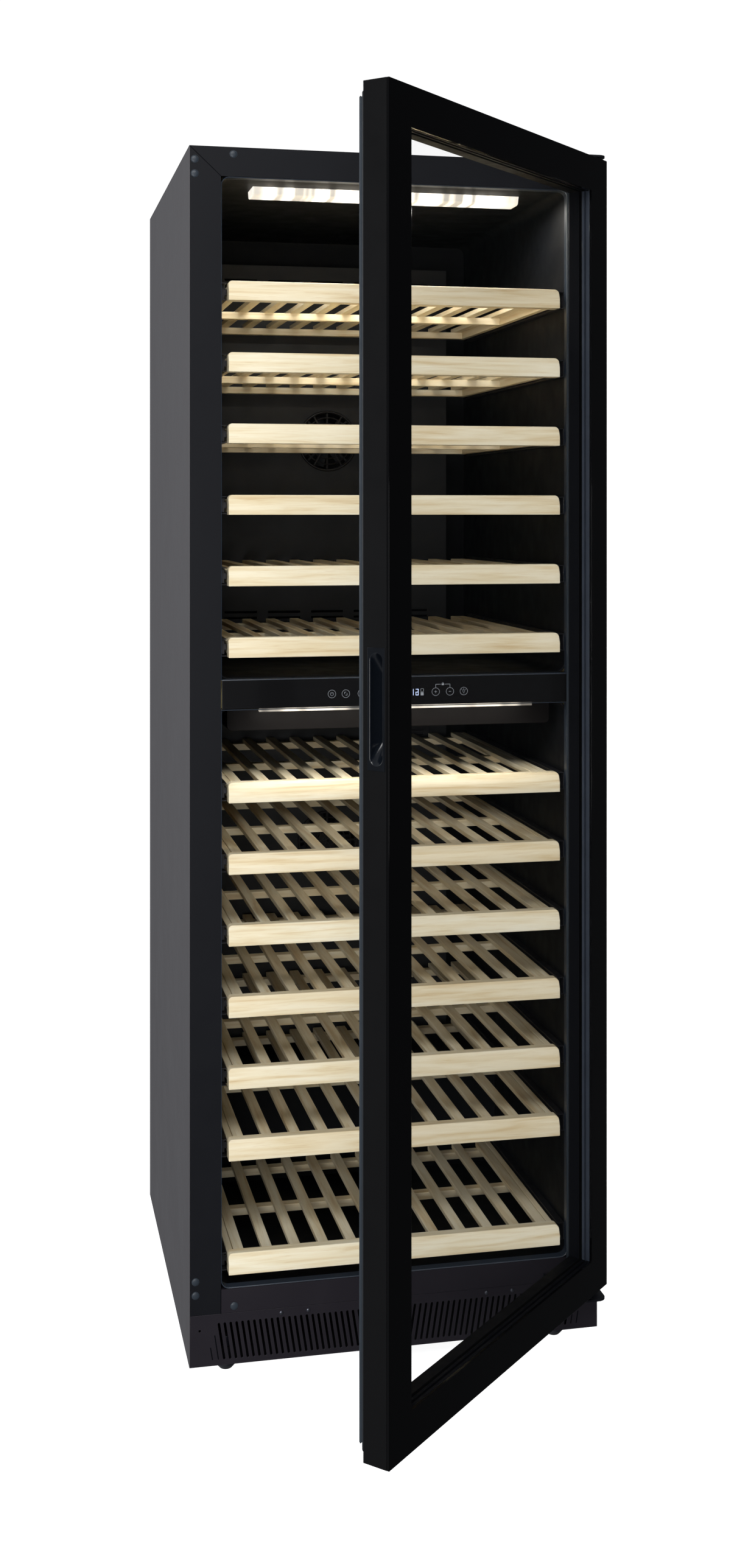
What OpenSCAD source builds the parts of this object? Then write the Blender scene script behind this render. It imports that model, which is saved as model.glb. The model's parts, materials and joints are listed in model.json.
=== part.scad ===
// Two-zone wine cooler with a glass door: a foamed steel cabinet on levelling feet,
// two liners one above the other, thirteen pull-out wooden shelves, and a compressor
// compartment at the bottom rear that breathes through the plinth grille.
// The origin is on the floor, in the middle of the cabinet. The front faces -Y.

/* [Cabinet] */
// Width of the cabinet
cab_w = 595; // [595:1:605]
// Depth of the cabinet without its door
cab_d = 632; // [632:1:640]
// Height of the cabinet's top above the floor
cab_h = 1717; // [1717:1:1730]
// Height of the levelling feet
foot_h = 20; // [15:1:30]
// Height of the seam between the plinth grille and the frame
plinth_top = 92; // [92:1:96]
// Thickness of the sheet-steel outer panels
sheet = 1; // [0.8:0.1:1.2]

/* [Front frame] */
// Width of the two stiles
stile_w = 44; // [44:1:46]
// Height of the top rail
top_rail_h = 41; // [40:1:42]
// Height of the bottom rail
bottom_rail_h = 33; // [32:1:34]
// Depth of the frame's steel channels
frame_d = 18; // [16:1:20]

/* [Zones] */
// Thickness of the plastic liners
liner_t = 2.5; // [2:0.5:3]
// Underside of the divider between the zones
divider_bottom = 930; // [925:1:930]
// Top of the divider between the zones
divider_top = 975; // [975:1:980]
// Height of the top of the compressor step in the lower zone
step_top = 288; // [270:1:290]
// Where the face of the compressor step stands
step_y = 70; // [70:1:80]
// Radius of the liners' corners
liner_r = 14; // [10:1:16]

/* [Shelves] */
// Top of the highest shelf of the upper zone
upper_shelf_top = 1532; // [1528:1:1536]
// Top of the highest shelf of the lower zone
lower_shelf_top = 829; // [825:1:831]
// Top of the short bottom shelf
bottom_shelf_top = 170; // [168:1:174]
// Distance from one shelf to the next
shelf_pitch = 100; // [98:1:101]
// Width of a shelf's front strip
shelf_w = 484; // [480:1:484]
// Height of a shelf's front strip
strip_h = 28; // [24:1:30]
// Distance from one slat to the next
slat_pitch = 40.7; // [40:0.1:42]

/* [Door] */
// Width of the door
door_w = 588; // [584:1:588]
// Thickness of the door
door_t = 36; // [36:1:38]
// Width of the black border round the door's window
border = 50; // [48:1:54]
// Gap between the closed door and the cabinet, which the gasket fills
door_gap = 14; // [14:1:15]
// How far the door stands open
door_angle = 45; // [0:5:105]

/* [Hidden] */
$fn = 48;

// Colours
grey_paint = [0.33, 0.32, 0.33];
black_paint = [0.12, 0.12, 0.14];
black_plastic = [0.09, 0.09, 0.1];
liner_black = [0.06, 0.07, 0.08];
foam_cream = [0.85, 0.8, 0.62];
steel = [0.62, 0.63, 0.65];
copper = [0.72, 0.45, 0.3];
beech = [0.87, 0.79, 0.62];
gasket_grey = [0.25, 0.3, 0.35];
lamp_white = [1, 0.97, 0.9];
circuit_green = [0.1, 0.35, 0.2];
seam = 0.1;
far = 1000;

// Cabinet planes
half_w = cab_w / 2;
front = -cab_d / 2;
back = cab_d / 2;
inner_x = half_w - sheet;
open_x = half_w - stile_w;
open_top = cab_h - top_rail_h;
open_bottom = plinth_top + bottom_rail_h;
frame_back = front + frame_d;
rear_wall_t = 51;
liner_back = back - rear_wall_t;
foam_back = back - sheet;
step_face_foam = 29.5;
step_top_foam = 27.5;
compartment_y = step_y + liner_t + step_face_foam;
compartment_top = step_top - liner_t - step_top_foam;
compartment_x = open_x + liner_t;
tray_t = 1.5;

// Door planes, with the door closed
door_edge = door_w / 2;
door_bottom = plinth_top + 2;
door_top = cab_h - 3;
door_inner = front - door_gap;
door_outer = door_inner - door_t;
glass_t = 4;
cavity_t = 12;
pivot_inset = [21, 20];
pivot = [door_edge - pivot_inset[0], door_outer + pivot_inset[1]];
pin_r = 4;
pin_short = 0.5;
running_gap = 0.05;
leaf_t = 3;

// Shelf positions, from the top down
upper_tops = [for (i = [0:5]) upper_shelf_top - i * shelf_pitch];
lower_tops = [for (i = [0:5]) lower_shelf_top - i * shelf_pitch];
shelf_tops = concat(upper_tops, lower_tops, [bottom_shelf_top]);
shelf_front = front + 3;
shelf_back = back - 101;
short_shelf_back = step_y - 15;
shelf_backs = [for (t = shelf_tops) t == bottom_shelf_top ? short_shelf_back : shelf_back];
strip_d = 22;
channel_w = 10.3;
channel_out = open_x - 0.2;
channel_x = channel_out - channel_w;

// Machine compartment, air ducts and feet
compressor_at = [135, 205];
tray_top = foot_h + tray_t;
fan_half = 60;
fan_depth = 25;
fan_at = [-60, 205, tray_top + fan_half];
coil_left = -231;
duct_depth = 35;
duct_front = liner_back - duct_depth;
duct_half_w = 212;
upper_fan_z = 1330;
lower_fan_z = 640;
foot_inset = [55.5, 36, 56];
foot_x = half_w - foot_inset[0];
foot_ys = [front + foot_inset[1], back - foot_inset[2]];

// A box from one corner to the other
module slab(x0, x1, y0, y1, z0, z1) {
    translate([x0, y0, z0])
        cube([x1 - x0, y1 - y0, z1 - z0]);
}

// A shape drawn in the front view, carried from y0 back to y1
module front_prism(y0, y1) {
    translate([0, y1, 0])
        rotate([90, 0, 0])
            linear_extrude(y1 - y0)
                children();
}

// A rectangle in the front view with all four corners rounded
module rounded_rect(x0, x1, z0, z1, r) {
    translate([x0 + r, z0])
        square([x1 - x0 - 2 * r, z1 - z0]);
    translate([x0, z0 + r])
        square([x1 - x0, z1 - z0 - 2 * r]);
    for (x = [x0 + r, x1 - r], z = [z0 + r, z1 - r])
        translate([x, z])
            circle(r);
}

// A cylinder along Y from y0 to y1
module rod_y(x, z, r, y0, y1) {
    translate([x, y1, z])
        rotate([90, 0, 0])
            cylinder(h = y1 - y0, r = r);
}

// Turns what belongs to the door from its closed place to where it stands open
module on_door() {
    translate([pivot[0], pivot[1], 0])
        rotate([0, 0, door_angle])
            translate([-pivot[0], -pivot[1], 0])
                children();
}

// What is drawn on the right, kept there for s = 1 and mirrored to the left for s = -1
module on_side(s) {
    mirror([s < 0 ? 1 : 0, 0, 0])
        children();
}

// Cabinet skin

module side_panels() {
    color(grey_paint)
        for (s = [-1, 1])
            on_side(s)
                slab(inner_x, half_w, front, back, foot_h, cab_h - sheet - seam);
}

module top_panel() {
    color(grey_paint)
        slab(-half_w, half_w, front, back, cab_h - sheet, cab_h);
}

module back_panel() {
    color(steel)
        slab(-inner_x, inner_x, foam_back, back, compartment_top, cab_h - sheet);
}

// Foam in flat blocks, one to each wall
module insulation() {
    x = compartment_x;
    top = open_top + liner_t;
    color(foam_cream) {
        for (s = [-1, 1])
            on_side(s)
                slab(x + seam, inner_x, frame_back, foam_back, plinth_top, cab_h - sheet);
        slab(-x, x, frame_back, foam_back, top + seam, cab_h - sheet);
        slab(-x, x, liner_back + liner_t, foam_back, step_top - liner_t + seam, top);
        slab(-x, x, frame_back, compartment_y - seam, plinth_top, open_bottom - liner_t - seam);
        slab(-x, x, step_y + liner_t, compartment_y - seam,
            open_bottom - liner_t, step_top - liner_t - seam);
        slab(-x, x, compartment_y, foam_back, compartment_top, step_top - liner_t);
    }
}

// A box liner, open at the front
module liner_shell(z0, z1) {
    difference() {
        front_prism(frame_back, liner_back + liner_t)
            rounded_rect(-open_x - liner_t, open_x + liner_t, z0 - liner_t, z1 + liner_t,
                liner_r + liner_t);
        front_prism(frame_back - 1, liner_back)
            rounded_rect(-open_x, open_x, z0, z1, liner_r);
    }
}

module upper_liner() {
    color(liner_black)
        liner_shell(divider_top, open_top);
}

// The lower liner steps forward over the compressor
module lower_liner() {
    color(liner_black) {
        difference() {
            liner_shell(open_bottom, divider_bottom);
            slab(-far, far, step_y + liner_t, far, 0, step_top - liner_t);
        }
        slab(-open_x - liner_t / 2, open_x + liner_t / 2, step_y, liner_back,
            step_top - liner_t, step_top);
        slab(-open_x - liner_t / 2, open_x + liner_t / 2, step_y, step_y + liner_t,
            open_bottom - liner_t / 2, step_top);
    }
}

// Front frame: folded steel channels, open at the back

frame_sheet = 1.2;
hole_r = 3.1;
left_holes = [[-half_w + 7.5, cab_h - 19], [-half_w + 7.5, cab_h - 39],
    [-half_w + 8.5, open_bottom + 14], [-half_w + 8.5, open_bottom - 5]];
rail_holes = [[-half_w + 61.5, cab_h - 10], [-half_w + 62.5, plinth_top + 9]];

module stile() {
    difference() {
        intersection() {
            slab(-inner_x, -open_x, front, frame_back, plinth_top, cab_h);
            front_prism(front, frame_back)
                polygon([[-inner_x, plinth_top], [-open_x, plinth_top],
                    [-open_x, open_top - seam], [-inner_x, cab_h - sheet - seam]]);
        }
        slab(-inner_x + frame_sheet, -open_x - frame_sheet, front + frame_sheet, far, 0, cab_h);
        for (h = left_holes)
            rod_y(h[0], h[1], hole_r, front - 1, frame_back);
    }
}

module left_stile() {
    color(black_paint)
        stile();
}

module right_stile() {
    color(black_paint)
        mirror([1, 0, 0])
            stile();
}

module top_rail() {
    color(black_paint)
        difference() {
            front_prism(front, frame_back)
                polygon([[-inner_x, cab_h - sheet], [inner_x, cab_h - sheet],
                    [open_x, open_top], [-open_x, open_top]]);
            slab(-far, far, front + frame_sheet, far,
                open_top + frame_sheet, cab_h - sheet - frame_sheet);
            for (s = [-1, 1])
                rod_y(s * rail_holes[0][0], rail_holes[0][1], hole_r, front - 1, frame_back);
        }
}

module bottom_rail() {
    color(black_paint)
        difference() {
            slab(-open_x, open_x, front, frame_back, plinth_top, open_bottom);
            slab(-far, far, front + frame_sheet, far,
                plinth_top + frame_sheet, open_bottom - frame_sheet);
            for (s = [-1, 1])
                rod_y(s * rail_holes[1][0], rail_holes[1][1], hole_r, front - 1, frame_back);
        }
}

// Domed caps in the hinge holes of the side that has no hinge
module hole_plugs() {
    color(gasket_grey)
        for (h = concat(left_holes, rail_holes))
            translate([h[0], front, h[1]])
                rotate([90, 0, 0])
                    rotate_extrude()
                        polygon([[0, -8], [3, -8], [3, 0], [5.5, 0], [5.2, 0.7],
                            [4, 1.4], [2, 1.8], [0, 1.9]]);
}

// Plinth with slanted vents that lean away from the middle, one pair at a time
slot_pitch = 8.28;
slot_count = 31;
slot_w = 3.3;
slot_lean = 7.5;
slot_low = foot_h + 7.5;
slot_high = plinth_top - 13;

module vent_pair(x) {
    w = slot_w / 2;
    low = x - slot_lean / 2;
    high = x + slot_lean / 2;
    for (s = [-1, 1])
        polygon([[s * (low - w), slot_low], [s * (low + w), slot_low],
            [s * (high + w), slot_high], [s * (high - w), slot_high]]);
}

module plinth_grille() {
    color(black_paint)
        difference() {
            slab(-inner_x, inner_x, front, front + 2, foot_h, plinth_top - 0.4);
            front_prism(front - 1, front + 3)
                for (i = [0:slot_count - 1])
                    vent_pair(slot_pitch * (i + 0.5));
        }
}

// Screws: pan heads along the plinth, countersunk ones in both hinges
plinth_screw_xs = [-168.5, -130, 130, 168.5];
screw_r = 2.9;

module screws() {
    color(steel) {
        for (x = plinth_screw_xs)
            translate([x, front, plinth_top - 7])
                rotate([90, 0, 0])
                    rotate_extrude()
                        polygon([[0, 0], [3, 0], [2.6, 1], [1.4, 1.6], [0, 1.7]]);
        for (h = concat(left_holes, rail_holes))
            translate([-h[0], front, h[1]])
                rotate([90, 0, 0])
                    rotate_extrude()
                        polygon([[0, -9], [screw_r, -9], [screw_r, 0.6], [4.6, bracket_t],
                            [0, bracket_t]]);
    }
}

// Base, feet and machine compartment

stem_r = 5;
nut_h = 9;
nut_r = 9;
foot_face_r = 8.5;
foot_pad_r = 15.5;
stem_top = foot_h + 25;

module foot_places() {
    for (x = [-foot_x, foot_x], y = foot_ys)
        translate([x, y, 0])
            children();
}

module base_tray() {
    color(steel)
        difference() {
            union() {
                slab(-inner_x, inner_x, front + 2, back, foot_h, tray_top);
                foot_places()
                    translate([0, 0, foot_h])
                        cylinder(h = tray_t + nut_h, r = nut_r);
            }
            foot_places()
                cylinder(h = far, r = stem_r + running_gap);
        }
}

module levelling_foot(x, y) {
    color(black_plastic)
        translate([x, y, 0])
            rotate_extrude()
                polygon([[0, 0], [foot_face_r, 0], [foot_pad_r, 8], [foot_pad_r, 12.5],
                    [stem_r, 13.5], [stem_r, stem_top], [0, stem_top]]);
}

module front_left_foot() levelling_foot(-foot_x, foot_ys[0]);
module front_right_foot() levelling_foot(foot_x, foot_ys[0]);
module rear_left_foot() levelling_foot(-foot_x, foot_ys[1]);
module rear_right_foot() levelling_foot(foot_x, foot_ys[1]);

// Vented cover over the back of the machine compartment
gland_at = [-215, 60];
gland_r = 8;

module machine_cover() {
    color(steel)
        difference() {
            slab(-inner_x, inner_x, foam_back, back, tray_top, compartment_top - 0.4);
            for (x = [-150:50:150], z = [110:14:220])
                slab(x - 19, x + 19, foam_back - 1, back + 1, z, z + 5);
            rod_y(gland_at[0], gland_at[1], gland_r + 0.1, foam_back - 1, back + 1);
        }
}

module cord_gland() {
    color(black_plastic)
        difference() {
            union() {
                rod_y(gland_at[0], gland_at[1], gland_r + 4, foam_back - 3, foam_back);
                rod_y(gland_at[0], gland_at[1], gland_r, foam_back - 3, back);
            }
            rod_y(gland_at[0], gland_at[1], 4, foam_back - 4, back + 1);
        }
}

grommet_pitch = [110, 84];

module grommet_places() {
    for (sx = [-1, 1], sy = [-1, 1])
        translate([compressor_at[0] + sx * grommet_pitch[0] / 2,
            compressor_at[1] + sy * grommet_pitch[1] / 2, tray_top])
            children();
}

module compressor() {
    color(black_plastic) {
        translate([compressor_at[0], compressor_at[1], tray_top])
            rotate_extrude()
                polygon([[0, 12], [50, 12], [64, 18], [72, 30], [72, 100], [76, 101],
                    [76, 107], [71, 108], [68, 135], [56, 158], [36, 172], [0, 178]]);
        difference() {
            translate([compressor_at[0], compressor_at[1], tray_top + 12])
                translate([-68, -52, 0])
                    cube([136, 104, 4]);
            grommet_places()
                cylinder(h = 30, r = 5);
        }
    }
}

module compressor_mounts() {
    color(gasket_grey)
        grommet_places() {
            cylinder(h = 12, r = 10);
            cylinder(h = 18, r = 4.95);
        }
}

// Finned coil: upright fins on level tubes
module finned_coil(x0, x1, y0, y1, z0, z1, fins, tubes) {
    step = (x1 - x0 - 1) / (fins - 1);
    for (i = [0:fins - 1])
        slab(x0 + i * step, x0 + i * step + 1, y0, y1, z0, z1);
    for (i = [0:tubes - 1])
        translate([x0 - 6, (y0 + y1) / 2, z0 + (i + 0.5) * (z1 - z0) / tubes])
            rotate([0, 90, 0])
                cylinder(h = x1 - x0 + 12, r = 4);
}

module condenser() {
    color(copper)
        finned_coil(coil_left, fan_at[0] - 6, fan_at[1] - fan_half, fan_at[1] + fan_half,
            tray_top, tray_top + 2 * fan_half, 17, 5);
}

// Axial fan rotor, its axis along Z, blades from z = 0 to w
shaft_r = 1.5;

module rotor(r, hub_r, w) {
    difference() {
        union() {
            cylinder(h = w, r = hub_r);
            for (i = [0:6])
                rotate([0, 0, i * 360 / 7])
                    translate([hub_r - 2, 0, w / 2])
                        rotate([35, 0, 0])
                            translate([0, -w * 0.7, -0.6])
                                cube([r - hub_r + 2, w * 1.4, 1.2]);
        }
        translate([0, 0, -1])
            cylinder(h = w + 2, r = shaft_r + running_gap);
    }
}

// Square shroud with a motor on a cross of bars behind the rotor
module condenser_fan_frame() {
    color(black_plastic)
        translate(fan_at)
            rotate([0, 90, 0]) {
                difference() {
                    translate([-fan_half, -fan_half, 0])
                        cube([2 * fan_half, 2 * fan_half, fan_depth]);
                    translate([0, 0, -1])
                        cylinder(h = fan_depth + 2, r = fan_half - 4);
                }
                for (a = [45, 135])
                    rotate([0, 0, a])
                        translate([-fan_half + 1, -3, 0])
                            cube([2 * fan_half - 2, 6, 3]);
                cylinder(h = 9, r = 17);
                cylinder(h = 22, r = shaft_r);
            }
}

module condenser_fan() {
    color(black_plastic)
        translate([fan_at[0] + 10, fan_at[1], fan_at[2]])
            rotate([0, 90, 0])
                rotor(fan_half - 8, 17, 12);
}

// Shallow tray that catches the defrost water over the warm compressor
module drain_pan() {
    color(black_plastic)
        difference() {
            slab(70, 200, 140, 270, 201, 228);
            slab(72, 198, 142, 268, 203, 229);
        }
}

// Air ducts on the liners' backs
duct_wall = 2;
duct_fan_r = 48;

module air_duct(z0, z1, fan_height) {
    rear = liner_back - 0.2;
    difference() {
        slab(-duct_half_w, duct_half_w, duct_front, rear, z0, z1);
        slab(-duct_half_w + duct_wall, duct_half_w - duct_wall, duct_front + duct_wall, far,
            z0 + duct_wall, z1 - duct_wall);
        rod_y(0, fan_height, duct_fan_r, duct_front - 1, duct_front + 5);
        for (x = [-150, -75, 0, 75, 150], z = [z0 + 24, z0 + 34, z1 - 38, z1 - 28])
            slab(x - 28, x + 28, duct_front - 1, duct_front + 5, z, z + 4);
    }
    for (a = [0, 45, 90, 135])
        translate([0, duct_front + duct_wall, fan_height])
            rotate([90, 0, 0])
                rotate([0, 0, a])
                    translate([-duct_fan_r - 1, -1.5, 0])
                        cube([2 * duct_fan_r + 2, 3, duct_wall]);
    rod_y(0, fan_height, 16, duct_front, duct_front + 10);
    rod_y(0, fan_height, shaft_r, duct_front, duct_front + 25);
}

module duct_fan(fan_height) {
    translate([0, duct_front + 24, fan_height])
        rotate([90, 0, 0])
            rotor(duct_fan_r - 4, 16, 11);
}

upper_duct = [divider_top + 25, open_top - 46];
lower_duct = [step_top + 14, divider_bottom - 16];

module upper_air_duct() {
    color(black_plastic)
        air_duct(upper_duct[0], upper_duct[1], upper_fan_z);
}

module lower_air_duct() {
    color(black_plastic)
        air_duct(lower_duct[0], lower_duct[1], lower_fan_z);
}

module upper_fan() {
    color(steel)
        duct_fan(upper_fan_z);
}

module lower_fan() {
    color(steel)
        duct_fan(lower_fan_z);
}

module evaporators() {
    color(copper)
        for (z = [upper_duct[0] + 50, lower_duct[0] + 50])
            finned_coil(-170, 170, duct_front + 8, liner_back - 0.2, z, z + 170, 21, 4);
}

filter_x = 150;

module charcoal_filters() {
    color(black_plastic)
        for (z = [upper_duct[1] - 85, lower_duct[1] - 85])
            difference() {
                rod_y(filter_x, z, 30, duct_front - 8, duct_front);
                for (i = [-2:2])
                    slab(filter_x - 20, filter_x + 20, duct_front - 9, duct_front - 5,
                        z + i * 8 - 1.5, z + i * 8 + 1.5);
            }
}

// Divider, controls and lamps

module divider_core() {
    color(foam_cream)
        slab(-compartment_x, compartment_x, frame_back, liner_back + liner_t - seam,
            divider_bottom + liner_t + seam, divider_top - liner_t - seam);
}

panel_half_w = open_x - 2;
panel_z = [divider_bottom + 3, divider_top - 2];
panel_t = 4;

housing_half_w = 239;
housing_h = 33;
housing_y = [front + 46, front + 130];
housing_r = 7;

module control_panel() {
    rim = 1.5;
    color(black_plastic) {
        slab(-panel_half_w, panel_half_w, front + 1, front + 1 + panel_t, panel_z[0], panel_z[1]);
        difference() {
            slab(-panel_half_w + rim, panel_half_w - rim, front + 1 + panel_t, frame_back - 0.3,
                panel_z[0] + rim, panel_z[1] - rim);
            slab(-panel_half_w + 2 * rim, panel_half_w - 2 * rim, front + 1 + panel_t, far,
                panel_z[0] + 2 * rim, panel_z[1] - 2 * rim);
        }
        intersection() {
            slab(-far, far, housing_y[0], housing_y[1], divider_bottom - housing_h,
                divider_bottom - seam);
            front_prism(housing_y[0] - 1, housing_y[1] + 1)
                rounded_rect(-housing_half_w, housing_half_w, divider_bottom - housing_h,
                    divider_bottom + housing_h, housing_r);
        }
    }
}

module control_board() {
    y = front + 1 + panel_t;
    color(circuit_green) {
        slab(-150, 150, y + 3, y + 4.6, panel_z[0] + 8, panel_z[1] - 8);
        slab(-28, 28, y + 0.3, y + 3, panel_z[0] + 12, panel_z[1] - 12);
        for (x = [-110, -80, 90, 120])
            slab(x - 7, x + 7, y + 4.6, y + 9, panel_z[0] + 14, panel_z[0] + 26);
    }
}

lamp_half_w = 199;

module upper_lamp() {
    color(lamp_white)
        translate([-lamp_half_w, 0, 0])
            rotate([90, 0, 90])
                linear_extrude(2 * lamp_half_w)
                    polygon([[front + 68, open_top - 0.1], [front + 72, open_top - 10],
                        [front + 76, open_top - 12], [front + 108, open_top - 12],
                        [front + 112, open_top - 10], [front + 116, open_top - 0.1]]);
}

// A strip under the front edge of the divider
module lower_lamp() {
    color(lamp_white) {
        slab(-lamp_half_w, lamp_half_w, front + 3, front + 13, divider_bottom - 2, panel_z[0] - 0.4);
        slab(-lamp_half_w + 9, lamp_half_w - 9, front + 6, front + 12,
            panel_z[0] - 0.4, panel_z[0] + 1.5);
    }
}

// Shelves and their runners

channel_t = 1.2;
channel_low = 27;
channel_high = 2;

// Fixed channels on the side walls, one pair to each shelf
module slide_channels() {
    color(steel)
        for (i = [0:len(shelf_tops) - 1], s = [-1, 1])
            on_side(s)
                front_prism(frame_back + 1, shelf_backs[i] - 3)
                    channel_outline(shelf_tops[i] - channel_low, shelf_tops[i] - channel_high);
}

module channel_outline(z0, z1) {
    polygon([[channel_x, z0], [channel_out, z0], [channel_out, z1], [channel_x, z1],
        [channel_x, z1 - channel_t], [channel_out - channel_t, z1 - channel_t],
        [channel_out - channel_t, z0 + channel_t], [channel_x, z0 + channel_t]]);
}

side_rail_w = 9;
slat_w = 15;
slat_t = 7;
slat_drop = 6;
slat_count = 12;
deck_h = 18;
crossbar_w = 16;
runner_low = 25;
runner_high = 4;
runner_setback = 28;

// A front strip, then slats nailed to three crossbars between two side rails, and two
// steel runners. Each is a solid of its own, a hair apart from the next.
module shelf(top, rear) {
    half = shelf_w / 2;
    deck_front = shelf_front + strip_d + seam;
    slat_low = top - slat_drop - slat_t;
    rail_in = half - 1 - side_rail_w;
    color(beech) {
        intersection() {
            translate([-half, 0, 0])
                rotate([90, 0, 90])
                    linear_extrude(shelf_w)
                        polygon([[shelf_front, top - strip_h], [shelf_front, top - strip_h / 2],
                            [shelf_front + 7, top], [shelf_front + strip_d, top],
                            [shelf_front + strip_d, top - strip_h]]);
            front_prism(shelf_front - 1, shelf_front + strip_d + 1)
                strip_outline(half, top - strip_h, top, 6);
        }
        for (s = [-1, 1])
            on_side(s)
                slab(rail_in, half - 1, deck_front, rear,
                    top - slat_drop - deck_h, top - slat_drop);
        for (y = [deck_front + 4, (deck_front + rear) / 2, rear - 20])
            slab(-rail_in + seam, rail_in - seam, y, y + crossbar_w,
                top - slat_drop - deck_h, slat_low - seam);
        for (i = [0:slat_count - 1]) {
            x = (i - (slat_count - 1) / 2) * slat_pitch;
            slab(x - slat_w / 2, x + slat_w / 2, deck_front, rear, slat_low, top - slat_drop);
        }
    }
    color(steel)
        for (s = [-1, 1])
            on_side(s) {
                slab(half - 1 + seam, channel_x + 1, shelf_front + runner_setback, rear - 6,
                    top - 19, top - 10);
                slab(channel_x + 1, channel_out - channel_t - 0.6, shelf_front + runner_setback,
                    rear - 6, top - runner_low, top - runner_high);
            }
}

// The strip seen from the front: square below, its two top corners rounded
module strip_outline(half, low, high, r) {
    translate([-half, low])
        square([2 * half, high - low - r]);
    translate([-half + r, low])
        square([2 * (half - r), high - low]);
    for (x = [-half + r, half - r])
        translate([x, high - r])
            circle(r);
}

module numbered_shelf(i) {
    shelf(shelf_tops[i - 1], shelf_backs[i - 1]);
}

module shelf_01() numbered_shelf(1);
module shelf_02() numbered_shelf(2);
module shelf_03() numbered_shelf(3);
module shelf_04() numbered_shelf(4);
module shelf_05() numbered_shelf(5);
module shelf_06() numbered_shelf(6);
module shelf_07() numbered_shelf(7);
module shelf_08() numbered_shelf(8);
module shelf_09() numbered_shelf(9);
module shelf_10() numbered_shelf(10);
module shelf_11() numbered_shelf(11);
module shelf_12() numbered_shelf(12);
module shelf_13() numbered_shelf(13);

// Hinges: an L-shaped plate on the front frame with a leaf and a pin at the pivot

bracket_t = 2.5;
bracket_end = half_w;
ear_w = 16.5;
top_arm_left = 226;
bottom_arm_left = 215;
leaf_left = 256;
leaf_front = pivot[1] - 12;
leaf_corner = 12;
boss_r = 8;
bush_r = 7;
bush_h = 14;
flange_r = 9;
flange_t = 2.1;

// Plate on the frame: an arm along the rail and an ear on the stile, with its screw holes
module bracket_plate(arm_left, z0, z1, ear_z0, ear_z1, holes) {
    difference() {
        union() {
            slab(arm_left, bracket_end, front - bracket_t, front, z0, z1);
            slab(bracket_end - ear_w, bracket_end, front - bracket_t, front, ear_z0, ear_z1);
        }
        for (h = holes)
            translate([-h[0], front, h[1]])
                rotate([90, 0, 0])
                    rotate_extrude()
                        polygon([[0, -1], [hole_r, -1], [hole_r, 0.6], [4.7, bracket_t],
                            [4.7, 5], [0, 5]]);
    }
}

// Level leaf under or over the door, with its two front corners rounded
module leaf(z) {
    w = bracket_end - leaf_left;
    d = front - leaf_front;
    translate([leaf_left, leaf_front, z])
        linear_extrude(leaf_t) {
            translate([leaf_corner, 0])
                square([w - 2 * leaf_corner, d]);
            translate([0, leaf_corner])
                square([w, d - leaf_corner]);
            for (x = [leaf_corner, w - leaf_corner])
                translate([x, leaf_corner])
                    circle(leaf_corner);
        }
}

module top_hinge() {
    color(black_paint) {
        bracket_plate(top_arm_left, cab_h - ear_w, cab_h + leaf_t, cab_h - 49, cab_h,
            [left_holes[0], left_holes[1], rail_holes[0]]);
        leaf(cab_h);
        translate([pivot[0], pivot[1], door_top - bush_h + pin_short])
            cylinder(h = cab_h - door_top + bush_h - pin_short + 1, r = pin_r);
    }
}

leaf_low = plinth_top - 16;

module bottom_hinge() {
    color(black_paint) {
        bracket_plate(bottom_arm_left, leaf_low, plinth_top + 13, leaf_low, open_bottom + 23,
            [left_holes[2], left_holes[3], rail_holes[1]]);
        leaf(leaf_low);
        translate([pivot[0], pivot[1], leaf_low + 1]) {
            cylinder(h = door_bottom - flange_t - 0.1 - leaf_low - 1, r = boss_r);
            cylinder(h = door_bottom + bush_h - pin_short - leaf_low - 1, r = pin_r);
        }
    }
}

// Bushes pressed into the door, turning on the hinge pins
module bush(z, flange_z) {
    translate([pivot[0], pivot[1], 0])
        difference() {
            union() {
                translate([0, 0, z])
                    cylinder(h = bush_h, r = bush_r);
                translate([0, 0, flange_z])
                    cylinder(h = flange_t, r = flange_r);
            }
            cylinder(h = 3 * far, r = pin_r + running_gap);
        }
}

module hinge_bushes() {
    on_door()
        color(gasket_grey) {
            bush(door_bottom, door_bottom - flange_t);
            bush(door_top - bush_h, door_top);
        }
}

// Door

glass_back = door_outer + glass_t;
cavity_back = glass_back + cavity_t;
pane_back = cavity_back + glass_t;
glazing_edge = border - 9;
frame_lip = glazing_edge - 1;
handle_z = [906, 1050];
handle_y = [door_outer + 6, door_outer + 30];
handle_depth = 26;

// A ring in the door's outline from inset a to inset b
module door_ring(y0, y1, a, b) {
    difference() {
        slab(-door_edge + a, door_edge - a, y0, y1, door_bottom + a, door_top - a);
        slab(-door_edge + b, door_edge - b, y0 - 1, y1 + 1, door_bottom + b, door_top - b);
    }
}

// The part of the door's outline that belongs to one of its four mitred bars
module bar_wedge(side) {
    e = door_edge;
    h = border + 10;
    g = seam / 2;
    x = side * e;
    front_prism(door_outer - 1, front)
        if (abs(side) == 1)
            polygon([[x, door_bottom + g], [x - side * h, door_bottom + h + g],
                [x - side * h, door_top - h - g], [x, door_top - g]]);
        else {
            z = side > 0 ? door_top : door_bottom;
            k = side > 0 ? -h : h;
            polygon([[-e + g, z], [e - g, z], [e - h - g, z + k], [-e + h + g, z + k]]);
        }
}

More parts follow.
